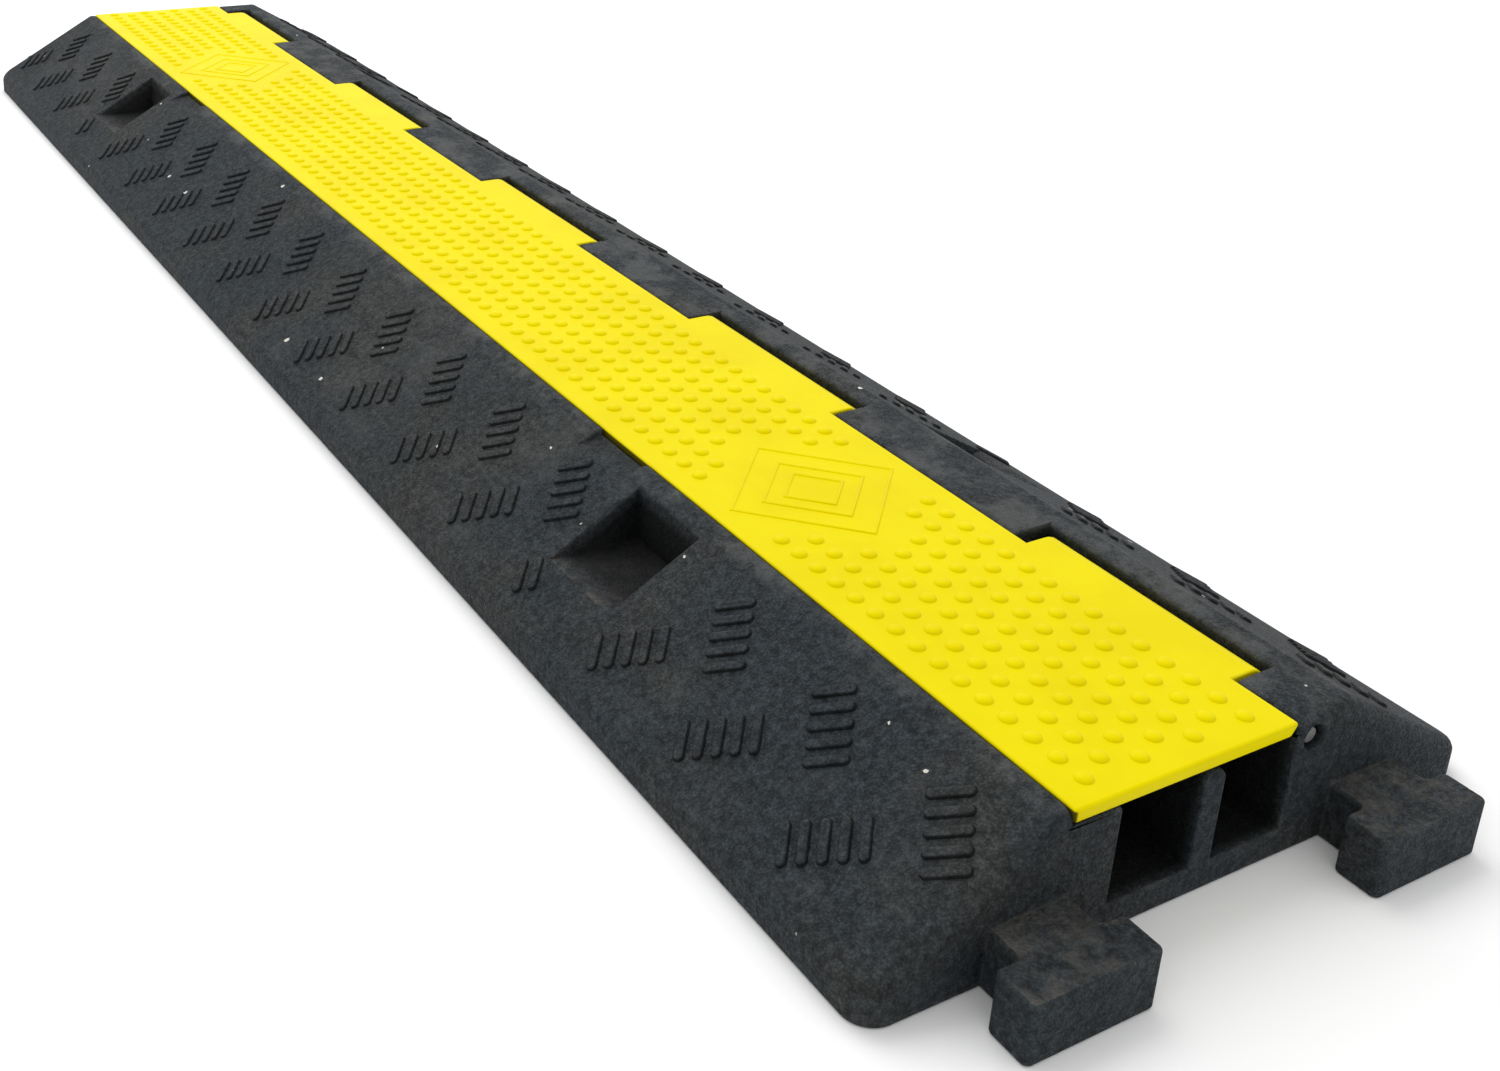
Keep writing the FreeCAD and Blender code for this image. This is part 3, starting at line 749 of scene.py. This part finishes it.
class RAMP_OT_lid_dots(bpy.types.Operator):
    """Make the raised dots, in staggered rows that leave room for the diamonds"""
    bl_idname = "cable_ramp.lid_dots"
    bl_label = "Lid dots"

    def execute(self, context):
        lid = settings().lid
        row, dot = np.meshgrid(np.arange(lid.rows) - lid.rows // 2, np.arange(lid.dots),
                               indexing="ij")
        inner = (row % 2 == 0)
        along = lid.dot_start - dot * lid.dot_pitch - inner * lid.dot_pitch / 2
        across = lid.dot_middle + row * lid.row_pitch
        far = [np.abs(along - middle) + np.abs(across - lid.dot_middle) > lid.diamond_clear
               for middle in lid.diamond_middles]
        kept = far[0] & far[1] & (along > lid.dot_margin - END)
        height = np.full(kept.sum(), settings().body.deck_height)
        origins = np.stack([along[kept], across[kept], height], axis=-1)
        shape = button(0.0, lid.dot_radius, lid.dot_height, DOT_FOOT, DOT_RINGS)
        axes = np.broadcast_to(np.eye(3), (len(origins), 3, 3))
        mesh = repeated("lid_dots", shape, origins, axes)
        yellow = bpy.data.materials["satin_yellow_plastic"]
        smooth_shading(show(mesh, "lid_dots", yellow, "lid"), 60)
        return {"FINISHED"}


# The nested outlines of a diamond, as shares of its reach.
DIAMOND_SHARES = (1.0, 0.62, 0.36)


class RAMP_OT_lid_diamonds(bpy.types.Operator):
    """Make the plain nested diamonds raised on the lid"""
    bl_idname = "cable_ramp.lid_diamonds"
    bl_label = "Lid diamonds"

    def execute(self, context):
        lid = settings().lid
        points, faces = [], []
        for middle in lid.diamond_middles:
            for share in DIAMOND_SHARES:
                line, sides = diamond_ridge((middle, lid.dot_middle), share * lid.diamond_reach,
                                            lid.ridge_width, lid.ridge_height,
                                            settings().body.deck_height)
                faces.append(sides + sum(len(done) for done in points))
                points.append(line)
        mesh = bpy.data.meshes.new("lid_diamonds")
        mesh.from_pydata(np.concatenate(points), [], np.concatenate(faces).tolist())
        mesh.update()
        yellow = bpy.data.materials["satin_yellow_plastic"]
        smooth_shading(show(mesh, "lid_diamonds", yellow, "lid"), 50)
        return {"FINISHED"}


class RAMP_OT_hinge_rod(bpy.types.Operator):
    """Give the hinge rod its drawn steel"""
    bl_idname = "cable_ramp.hinge_rod"
    bl_label = "Hinge rod"

    def execute(self, context):
        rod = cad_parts["hinge_rod"]
        rod.data.materials.clear()
        rod.data.materials.append(bpy.data.materials["drawn_steel"])
        return {"FINISHED"}


class RAMP_OT_stage(bpy.types.Operator):
    """Make the floor, the soft light and the camera"""
    bl_idname = "cable_ramp.stage"
    bl_label = "Stage"

    def execute(self, context):
        stage, scene = settings().stage, context.scene
        reach, drop = stage.floor_reach, stage.floor_drop
        corners = [(-reach, -reach, -drop), (reach, -reach, -drop),
                   (reach, reach, -drop), (-reach, reach, -drop)]
        floor_mesh = bpy.data.meshes.new("floor")
        floor_mesh.from_pydata(corners, [], [(0, 1, 2, 3)])
        floor = bpy.data.objects.new("floor", floor_mesh)
        scene.collection.objects.link(floor)
        pale, _, shader, _ = new_material("pale_floor")
        shader.inputs["Base Color"].default_value = tuple(settings().colours.floor)
        shader.inputs["Roughness"].default_value = 0.9
        shader.inputs["Specular IOR Level"].default_value = 0.1
        floor_mesh.materials.append(pale)

        world = bpy.data.worlds.new("even_white")
        world.use_nodes = True
        background = world.node_tree.nodes["Background"]
        background.inputs["Color"].default_value = (1, 1, 1, 1)
        background.inputs["Strength"].default_value = stage.sky
        scene.world = world
        scene.view_settings.view_transform = "Standard"

        key = bpy.data.lights.new("key", "AREA")
        key.shape = "RECTANGLE"
        key.size, key.size_y = stage.key_size
        key.energy = stage.key_power
        lamp = bpy.data.objects.new("key", key)
        lamp.location = stage.key_place
        lamp.rotation_euler = stage.key_turn
        scene.collection.objects.link(lamp)

        camera = bpy.data.cameras.new("camera")
        camera.lens = stage.lens
        camera.sensor_width = 36
        camera.shift_x, camera.shift_y = stage.shift
        camera.clip_start, camera.clip_end = 0.01, 100
        viewer = bpy.data.objects.new("camera", camera)
        viewer.location = stage.camera_place
        viewer.rotation_euler = stage.camera_turn
        scene.collection.objects.link(viewer)
        scene.camera = viewer
        return {"FINISHED"}


OPERATORS = [RAMP_OT_stage, RAMP_OT_materials, RAMP_OT_rubber_body, RAMP_OT_tread_bars, RAMP_OT_lid,
             RAMP_OT_lid_dots, RAMP_OT_lid_diamonds, RAMP_OT_hinge_rod]


class RAMP_PT_panel(bpy.types.Panel):
    """The ramp's pieces and sizes in the sidebar"""
    bl_idname = "RAMP_PT_panel"
    bl_label = "Cable ramp"
    bl_space_type = "VIEW_3D"
    bl_region_type = "UI"
    bl_category = "Cable ramp"

    def draw(self, context):
        for operator in OPERATORS:
            self.layout.operator(operator.bl_idname)
        for name, group in SETTINGS.items():
            box = self.layout.box()
            box.label(text=name.capitalize())
            for prop in group.__annotations__:
                box.prop(getattr(context.scene.cable_ramp, name), prop)


CLASSES = [*SETTINGS.values(), RampSettings, *OPERATORS, RAMP_PT_panel]


def register():
    for made in CLASSES:
        bpy.utils.register_class(made)
    bpy.types.Scene.cable_ramp = PointerProperty(type=RampSettings)


def unregister():
    del bpy.types.Scene.cable_ramp
    for made in reversed(CLASSES):
        bpy.utils.unregister_class(made)


def main():
    register()
    for operator in OPERATORS:
        group, name = operator.bl_idname.split(".")
        getattr(getattr(bpy.ops, group), name)()


if __name__ == "__main__":
    main()
